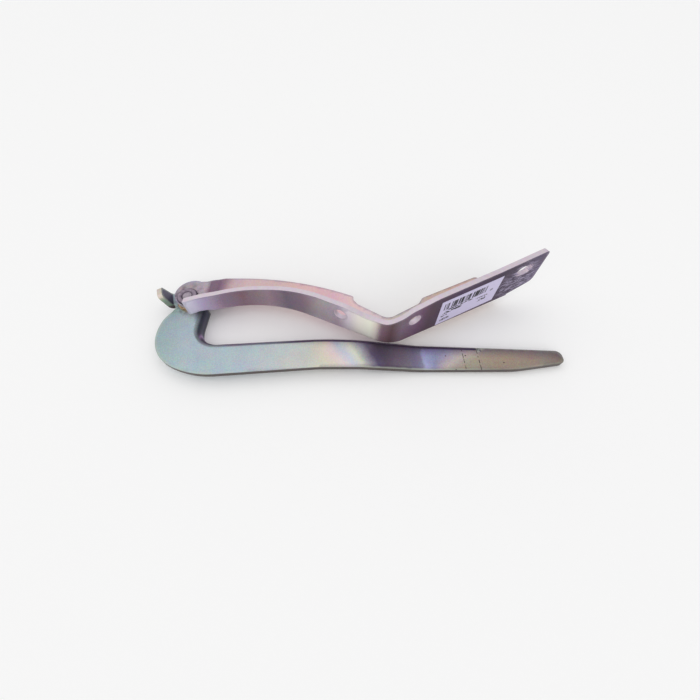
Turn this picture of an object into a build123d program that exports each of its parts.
from build123d import *
from math import atan2, cos, radians, sin, tan
import os

# Hood hinge: two arms stamped from sheet steel turn on one rivet. It lies on its side, so the
# pivot's axis stands upright. Millimetres, +Z up, +X along the gooseneck arm. The origin is the
# centre of the bracket's round bolt hole, on the face that meets the hood. Plan points below
# count from the pivot, and heights count from the top of the gooseneck arm's web.

# Sheet metal
sheet = 4.0
bend_inside = 1.5
bend_outside = bend_inside + sheet

# Rivet and spacer
shank_radius = 5.0
shank_gap = 0.06
axial_gap = 0.3
spacer_thickness = 2.7
spacer_radius = 10.2
head_radius = 8.5
head_height = 2.6
head_edge = 1.2
dish_radius = 4.6
dish_depth = 1.1
tail_radius = 7.5
tail_height = 2.8
tail_chamfer = 1.2

# Gooseneck arm: its outer flange, seen in plan
flange_depth = 12.0
throat_wall_x = 14.2
neck_y = -4.0
throat_corner_y = -41.6
throat_bend = 16.5
crown_x = 118.0
crown_y = -35.0
crown_bend = 300.0
flange_end_x = 242.5
flange_end_y = -40.0
neck_radius = 13.4
notch_bearing = 210.0

# Gooseneck arm: its free edge and its mounting tongue
tongue_setback = 2.3
tip_x = 308.7
tip_far_y = -45.2
tip_near_y = -55.7
tip_round = 4.6
tongue_taper_x = 268.0
near_y = -61.6
heel_x = 114.0
heel_y = -62.4
near_bend = 90.0
hook_start = (36.0, -68.3)
hook_through = [(9.6, -64.9), (-8.3, -55.2), (-17.0, -42.5), (-19.5, -29.0), (-17.6, -17.4)]
tongue_drop = 6.0
slope_start_x = 146.0
slope_end_x = 194.5
slope_start_bend = 120.0
slope_end_bend = 60.0

# Stop tab, bent up from the gooseneck arm
tab_bearing = 202.3
tab_root = 4.0
tab_foot = 14.5
tab_height = 15.3
tab_lean = 12.0
tab_side = 2.1
tab_width = 10.4
tab_foot_width = 14.6
tab_root_width = 10.5
tab_round = 3.0

# Bracket arm: the line of its standing flange in plan
ear_centre = (1.3, 5.3)
ear_radius = 13.9
ear_overlap = 0.3
web_drop = 3.8
step_start_x = 13.5
step_length = 9.0
step_bend = 20.0
wall_start_x = 6.3
arch_start_x = 11.0
arch_x = 58.0
arch_y = -5.1
arch_radius = 110.0
arm_fall = 24.5
vee_x = 170.0
vee_bend = 25.0
plate_rise = 25.5
plate_length = 143.0
plate_lift = 6.0
plate_end_lean = 2.5
plate_round = 6.0
plate_top_round = 4.0
plate_overhang = 25.0
fold_relief = 0.6

# Bracket arm: the height of its standing edge at places along X, and the bends between them
crest = [(-20.0, 25.0), (29.0, 20.7), (70.0, 23.9), (112.0, 30.8), (136.0, 30.4), (150.0, 27.4),
         (166.0, 27.4), (183.0, 37.7), (203.0, 41.4), (254.0, 43.7), (330.0, 50.2)]
crest_bends = [40.0, 80.0, 25.0, 12.0, 15.0, 12.0, 12.0, 30.0, 60.0]

# Bracket arm: the far edge of its web
gusset_width = 29.0
gusset_start = 50.0
gusset_back = 9.0
gusset_slope = 6.0
gusset_inset = 4.0
waist = (171.0, -20.0)
step_low = (146.0, -4.5)
step_mid = (142.5, 0.3)
step_high = (142.5, 4.2)
back = (92.4, 25.4)
shoulder = (25.0, 25.4)
ear_joint = (12.0, 18.2)
back_bends = [5.0, 6.0, 8.0, 10.0, 5.0, 2.0, 2.0, 255.0, 9.0, 6.0]

# Holes
hole_radius = 5.25
plate_hole_along = 18.4
plate_hole_height = 27.1
arm_hole_back = 43.0
arm_hole_height = 21.0
slot_back = 21.3
slot_height = 33.9
slot_overall = 17.0

# Paper label
label_back = 17.8
label_bottom = 5.5
label_turn = 2.4
label_width = 58.0
label_height = 30.0
label_thickness = 0.2

# Heights and places that follow
ear_height = spacer_thickness + axial_gap
web_height = ear_height - web_drop
fold_length = plate_length - plate_overhang
gusset_end = fold_length - gusset_back
slot_along = plate_length - slot_back
label_start = fold_length - label_back - label_width
gooseneck_bottom = -flange_depth

# Cutting shapes reach this far, and bent lines run out past the ends of the arms
clear_of_all = 80.0
before_start = -60.0
past_end = 340.0


def heading(angle):
    """A plan direction at an angle from +X, in degrees."""
    return Vector(cos(radians(angle)), sin(radians(angle)))


def bent_line(corners, radii, gap=0.0):
    """Straight runs joined by round bends, or the line beside them, to the left by a gap."""
    points = [Vector(*corner) for corner in corners]
    runs = [(b - a).normalized() for a, b in zip(points, points[1:])]
    lefts = [Vector(-run.Y, run.X) for run in runs]
    before, after = [lefts[0], *lefts], [*lefts, lefts[-1]]
    beside = [p + (m + n) * (gap / (1 + m.dot(n))) for p, m, n in zip(points, before, after)]
    turns = [1 if a.cross(b).Z > 0 else -1 for a, b in zip(runs, runs[1:])]
    return FilletPolyline(*beside, radius=[r - turn * gap for r, turn in zip(radii, turns)])


def upright(x_dir, at):
    """A vertical plane with its X along a plan direction and its Y up."""
    return Plane(origin=at, x_dir=x_dir, z_dir=x_dir.cross(Vector(0, 0, 1)))


def over_line(shape, line, low, high):
    """The edges of a shape that run along a plan line, with their middles between two heights."""
    def runs_over(edge):
        middle = pivot.to_local_coords(edge.position_at(0.5))
        beside_line = line.distance_to(Vertex(middle.X, middle.Y, 0)) < 0.02
        return beside_line and low < middle.Z < high and abs(edge.tangent_at(0.5).Z) < 0.7

    return shape.edges().filter_by(runs_over)


def at_plate_end(edge):
    """Whether an edge runs through the sheet at the end of the plate."""
    place = plate_face.to_local_coords(edge.center())
    return place.X > plate_length - plate_round and abs(edge.length - sheet) < 0.05


# Corners of the bracket's front line
ear_top_rise = (ear_radius**2 - (wall_start_x - ear_centre[0])**2) ** 0.5
ear_top = (wall_start_x, ear_centre[1] + ear_top_rise - ear_overlap)
arm_way = heading(-arm_fall)
plate_way = heading(plate_rise)
arch_centre = Vector(arch_x, arch_y - arch_radius)
arch_end = arch_centre + Vector(-arm_way.Y, arm_way.X) * arch_radius
vee = arch_end + arm_way * ((vee_x - arch_end.X) / arm_way.X)
wall_lean = (arch_start_x - arch_x) / arch_radius
arch_start = arch_centre + Vector(wall_lean, (1 - wall_lean**2) ** 0.5) * arch_radius
wall_way = Vector((1 - wall_lean**2) ** 0.5, -wall_lean)
half_turn = (atan2(wall_way.Y, wall_way.X) - atan2(arm_way.Y, arm_way.X)) / 2
arch_corner = arch_start + wall_way * (arch_radius * tan(half_turn))
wall_start = arch_start + wall_way * ((wall_start_x - arch_start_x) / wall_way.X)
plate_end = vee + plate_way * (plate_length + plate_top_round)
front = [wall_start, arch_corner, vee, plate_end]
front_bends = [arch_radius, vee_bend]

# The pivot lies where it brings the plate's round hole to the origin
hole_at = vee + plate_way * plate_hole_along + Vector(0, 0, web_height + plate_hole_height)
pivot = Plane(origin=-hole_at)
side_view = upright(Vector(1, 0, 0), -hole_at)
plate_face = upright(plate_way, vee - hole_at)
arm_face = upright(arm_way, vee - hole_at)

# Corners of the bracket's underside, with the step that lifts its ear, and of its far edge
plate_inward = Vector(-plate_way.Y, plate_way.X)
underside = [(before_start, ear_height), (step_start_x, ear_height),
             (step_start_x + step_length, web_height), (past_end, web_height)]
underside_bends = [step_bend, step_bend]


def behind_plate(along, depth):
    """A plan point so far along the plate and so far behind its face."""
    return vee + plate_way * along + plate_inward * depth


far_edge = [
    behind_plate(fold_length, sheet), behind_plate(gusset_end, gusset_width),
    behind_plate(gusset_start, gusset_width),
    behind_plate(gusset_start - gusset_slope, gusset_width - gusset_inset),
    waist, step_low, step_mid, step_high, back, shoulder, ear_joint, ear_top]

# Corners of the gooseneck arm
throat = [(throat_wall_x, neck_y), (throat_wall_x, throat_corner_y), (crown_x, crown_y),
          (flange_end_x, flange_end_y)]
throat_bends = [throat_bend, crown_bend]
gooseneck_top = [(before_start, 0), (slope_start_x, 0), (slope_end_x, -tongue_drop),
                 (past_end, -tongue_drop)]
gooseneck_bends = [slope_start_bend, slope_end_bend]
notch = heading(notch_bearing) * neck_radius


def gooseneck_plan():
    """The whole outline of the gooseneck arm, flange, tongue, hook and ear, from above."""
    with BuildLine() as outline:
        inner = bent_line(throat, throat_bends)
        edge = FilletPolyline(
            inner @ 1, (flange_end_x, flange_end_y - tongue_setback), (tip_x, tip_far_y),
            (tip_x, tip_near_y), (tongue_taper_x, near_y), (heel_x, heel_y), hook_start,
            radius=[0, tip_round, tip_round, near_bend, near_bend])
        hook = Spline(edge @ 1, *hook_through, notch, tangents=[edge % 1, (0.42, 0.9)])
        neck_x = (neck_radius**2 - neck_y**2) ** 0.5
        ear = ThreePointArc(hook @ 1, (0, neck_radius), (neck_x, neck_y))
        Line(ear @ 1, inner @ 0)
    return outline.edges()


def side_region(corners, radii, gap, height):
    """Everything under a bent line in the side view, or over it, as far as a height."""
    with BuildLine() as outline:
        line = bent_line(corners, radii, gap)
        Polyline(line @ 0, ((line @ 0).X, height), ((line @ 1).X, height), line @ 1)
    return outline.edges()


# The gooseneck arm's hollow under its web, behind the flange
with BuildLine() as throat_line:
    bent_line(throat, throat_bends)
with BuildLine() as throat_inside:
    bent_line(throat, throat_bends, -sheet)

with BuildPart() as gooseneck_hollow:
    with BuildSketch(pivot.offset(gooseneck_bottom)):
        with BuildLine():
            inside = bent_line(throat, throat_bends, -sheet)
            past_flange = inside @ 1 + (inside % 1) * bend_outside
            Polyline(inside @ 1, past_flange, (past_flange.X, -clear_of_all), (-clear_of_all, -clear_of_all),
                     (-clear_of_all, neck_y), inside @ 0)
        make_face()
    extrude(amount=flange_depth)
    with BuildSketch(side_view):
        make_face(side_region(gooseneck_top, gooseneck_bends, -sheet, -clear_of_all))
    extrude(amount=clear_of_all * 2, both=True, mode=Mode.INTERSECT)
    fillet(over_line(gooseneck_hollow.part, throat_inside.line, -flange_depth + 0.1, 0), bend_inside)

# The stop tab, bent up and out from the ear
tab_way = heading(tab_bearing)
tab_plane = upright(tab_way, pivot.origin).offset(tab_side)
tab_across = tab_plane.z_dir
tab_far = tab_side + tab_foot_width
tab_line = [(tab_root, 0), (tab_foot, 0),
            (tab_foot + tab_height * tan(radians(tab_lean)), tab_height)]

with BuildPart() as stop_tab:
    with BuildSketch(tab_plane):
        with BuildLine():
            face = bent_line(tab_line, [bend_inside])
            rear = bent_line(tab_line, [bend_inside], -sheet)
            Line(face @ 0, rear @ 0)
            Line(face @ 1, rear @ 1)
        make_face()
    extrude(amount=tab_foot_width)
    # It widens from its end to its foot, and narrows again where it leaves the ear
    with BuildSketch(upright(tab_across, pivot.origin)):
        with BuildLine():
            tab_end_far = tab_side + tab_width
            Polyline((tab_side, -sheet), (tab_far, -sheet), (tab_far, 0), (tab_end_far, tab_height),
                     (tab_end_far, clear_of_all), (tab_side, clear_of_all), (tab_side, -sheet))
        make_face()
    extrude(amount=clear_of_all, both=True, mode=Mode.INTERSECT)
    with BuildSketch(pivot):
        with BuildLine():
            Polyline(tab_way * tab_root + tab_across * tab_side, tab_way * clear_of_all + tab_across * tab_side,
                     tab_way * clear_of_all + tab_across * tab_far, tab_way * tab_foot + tab_across * tab_far,
                     tab_way * tab_root + tab_across * (tab_side + tab_root_width),
                     tab_way * tab_root + tab_across * tab_side)
        make_face()
    extrude(amount=clear_of_all, both=True, mode=Mode.INTERSECT)
    tab_end = stop_tab.faces().sort_by(Axis.Z)[-1]
    fillet(tab_end.edges().sort_by(SortBy.LENGTH)[:2], tab_round)

# Its ear and its tongue, which are flat sheet
with BuildPart() as gooseneck_flat:
    with BuildSketch(pivot.offset(gooseneck_bottom)):
        make_face(gooseneck_plan())
        with Locations((flange_end_x, neck_y)):
            Rectangle(flange_end_x + clear_of_all, clear_of_all * 2, align=(Align.MAX, Align.MAX),
                      mode=Mode.SUBTRACT)
    extrude(amount=flange_depth)
    with BuildSketch(side_view):
        with BuildLine():
            top = bent_line(gooseneck_top, gooseneck_bends)
            bottom = bent_line(gooseneck_top, gooseneck_bends, -sheet)
            Line(top @ 0, bottom @ 0)
            Line(top @ 1, bottom @ 1)
        make_face()
    extrude(amount=clear_of_all * 2, both=True, mode=Mode.INTERSECT)

with BuildPart() as gooseneck_arm:
    # Folded stretch, solid at first
    with BuildSketch(pivot.offset(gooseneck_bottom)):
        make_face(gooseneck_plan())
        with Locations((flange_end_x, neck_y)):
            Rectangle(flange_end_x + clear_of_all, clear_of_all * 2, align=(Align.MAX, Align.MAX),
                      mode=Mode.INTERSECT)
    extrude(amount=flange_depth)
    with BuildSketch(side_view):
        make_face(side_region(gooseneck_top, gooseneck_bends, 0, -clear_of_all))
    extrude(amount=clear_of_all * 2, both=True, mode=Mode.INTERSECT)
    fillet(over_line(gooseneck_arm.part, throat_line.line, -flange_depth + 0.1, 1), bend_outside)
    add(gooseneck_hollow.part, mode=Mode.SUBTRACT)
    # The stretches that have no flange
    add(gooseneck_flat.part)
    add(stop_tab.part)
    with BuildSketch(pivot.offset(clear_of_all)):
        Circle(shank_radius)
    extrude(amount=-clear_of_all * 2, mode=Mode.SUBTRACT)

# The bracket's hollow behind its standing flange, over its web
with BuildLine() as wall_line:
    bent_line(front, front_bends)
with BuildLine() as wall_inside:
    bent_line(front, front_bends, sheet)

with BuildPart() as bracket_hollow:
    with BuildSketch(pivot.offset(web_height)):
        with BuildLine():
            inside = bent_line(front, front_bends, sheet)
            far = clear_of_all * 2
            Polyline(inside @ 1, inside @ 1 + plate_way * far, inside @ 1 + plate_way * far + Vector(0, far),
                     inside @ 0 + Vector(-far, far), inside @ 0 - wall_way * far, inside @ 0)
        make_face()
    extrude(amount=clear_of_all)
    with BuildSketch(side_view):
        make_face(side_region(underside, underside_bends, sheet, clear_of_all))
    extrude(amount=clear_of_all * 2, both=True, mode=Mode.INTERSECT)
    fillet(over_line(bracket_hollow.part, wall_inside.line, 0, clear_of_all - 1), bend_inside)

with BuildPart() as bracket_arm:
    # Web and standing flange, solid at first
    with BuildSketch(pivot.offset(web_height)):
        with BuildLine():
            wall = bent_line(front, front_bends)
            inner_end = plate_end + plate_inward * sheet
            Line(wall @ 1, inner_end)
            rim = FilletPolyline(inner_end, *far_edge, radius=[0, *back_bends])
            Line(rim @ 1, wall @ 0)
        make_face()
    extrude(amount=clear_of_all)
    with BuildSketch(side_view):
        with BuildLine():
            below = bent_line(underside, underside_bends)
            above = bent_line(crest, crest_bends)
            Line(below @ 0, above @ 0)
            Line(below @ 1, above @ 1)
        make_face()
    extrude(amount=clear_of_all * 4, both=True, mode=Mode.INTERSECT)
    fillet(over_line(bracket_arm.part, wall_line.line, -1, ear_height + 1), bend_outside)
    add(bracket_hollow.part, mode=Mode.SUBTRACT)
    # Beyond the fold only the plate goes on, up to a leaning end, with its lower edge above the bend
    plate_low = web_height + bend_outside + fold_relief
    with BuildSketch(plate_face):
        with BuildLine():
            trim = FilletPolyline(
                (fold_length, web_height), (fold_length, plate_low), (plate_length, plate_low + plate_lift),
                (plate_length - clear_of_all * tan(radians(plate_end_lean)), clear_of_all),
                radius=[0, plate_round])
            Polyline(trim @ 1, (plate_length * 2, clear_of_all), (plate_length * 2, web_height), trim @ 0)
        make_face()
    extrude(amount=clear_of_all, both=True, mode=Mode.SUBTRACT)
    # Ear round the rivet
    with BuildSketch(pivot.offset(ear_height)):
        with Locations(ear_centre):
            Circle(ear_radius)
        with Locations((wall_start_x, 0)):
            Rectangle(clear_of_all, clear_of_all, align=(Align.MAX, Align.CENTER), mode=Mode.INTERSECT)
    extrude(amount=sheet)
    with BuildSketch(pivot):
        Circle(shank_radius + shank_gap)
    extrude(amount=clear_of_all, mode=Mode.SUBTRACT)
    # Bolt holes and slot, square to the faces that they go through
    with BuildSketch(arm_face):
        with Locations((-arm_hole_back, web_height + arm_hole_height)):
            Circle(hole_radius)
    extrude(amount=sheet * 3, both=True, mode=Mode.SUBTRACT)
    with BuildSketch(plate_face):
        with Locations((plate_hole_along, web_height + plate_hole_height)):
            Circle(hole_radius)
        with Locations((slot_along, web_height + slot_height)):
            SlotOverall(slot_overall, hole_radius * 2)
    extrude(amount=sheet * 3, both=True, mode=Mode.SUBTRACT)
    # The rounded upper corner at the plate's end
    fillet(bracket_arm.edges().filter_by(at_plate_end).sort_by(Axis.Z)[-1], plate_top_round)

# The rivet, in section beside its axis: turned-over tail, shank, and head with a dished middle
tail_bottom = -sheet - tail_height
head_bottom = ear_height + sheet + axial_gap
head_top = head_bottom + head_height
with BuildPart() as pivot_rivet:
    with BuildSketch(side_view):
        with BuildLine():
            Polyline((0, tail_bottom), (tail_radius - tail_chamfer, tail_bottom),
                     (tail_radius, tail_bottom + tail_chamfer), (tail_radius, -sheet), (shank_radius, -sheet),
                     (shank_radius, head_bottom), (head_radius, head_bottom), (head_radius, head_top),
                     (dish_radius, head_top))
            Spline((dish_radius, head_top), (dish_radius / 2, head_top - dish_depth * 0.8),
                   (0, head_top - dish_depth), tangents=[(-1, -0.4), (-1, 0)])
            Line((0, head_top - dish_depth), (0, tail_bottom))
        make_face()
    revolve(axis=Axis(pivot.origin, (0, 0, 1)))
    fillet(pivot_rivet.edges().filter_by(GeomType.CIRCLE).filter_by(
        lambda e: abs(e.radius - head_radius) < 0.01).sort_by(Axis.Z)[-1], head_edge)

# The brass spacer that keeps the two ears apart
with BuildPart() as spacer:
    with BuildSketch(pivot):
        Circle(spacer_radius)
        Circle(shank_radius, mode=Mode.SUBTRACT)
    extrude(amount=spacer_thickness)

# The printed label on the plate's outer face
with BuildPart() as paper_label:
    with BuildSketch(plate_face):
        with Locations((label_start, web_height + label_bottom)):
            Rectangle(label_width, label_height, rotation=label_turn, align=(Align.MIN, Align.MIN))
    extrude(amount=label_thickness)

os.makedirs("parts", exist_ok=True)
gooseneck_arm.part.label = "gooseneck_arm"
export_step(gooseneck_arm.part, "parts/gooseneck_arm.step")
bracket_arm.part.label = "bracket_arm"
export_step(bracket_arm.part, "parts/bracket_arm.step")
pivot_rivet.part.label = "pivot_rivet"
export_step(pivot_rivet.part, "parts/pivot_rivet.step")
spacer.part.label = "spacer"
export_step(spacer.part, "parts/spacer.step")
paper_label.part.label = "paper_label"
export_step(paper_label.part, "parts/paper_label.step")
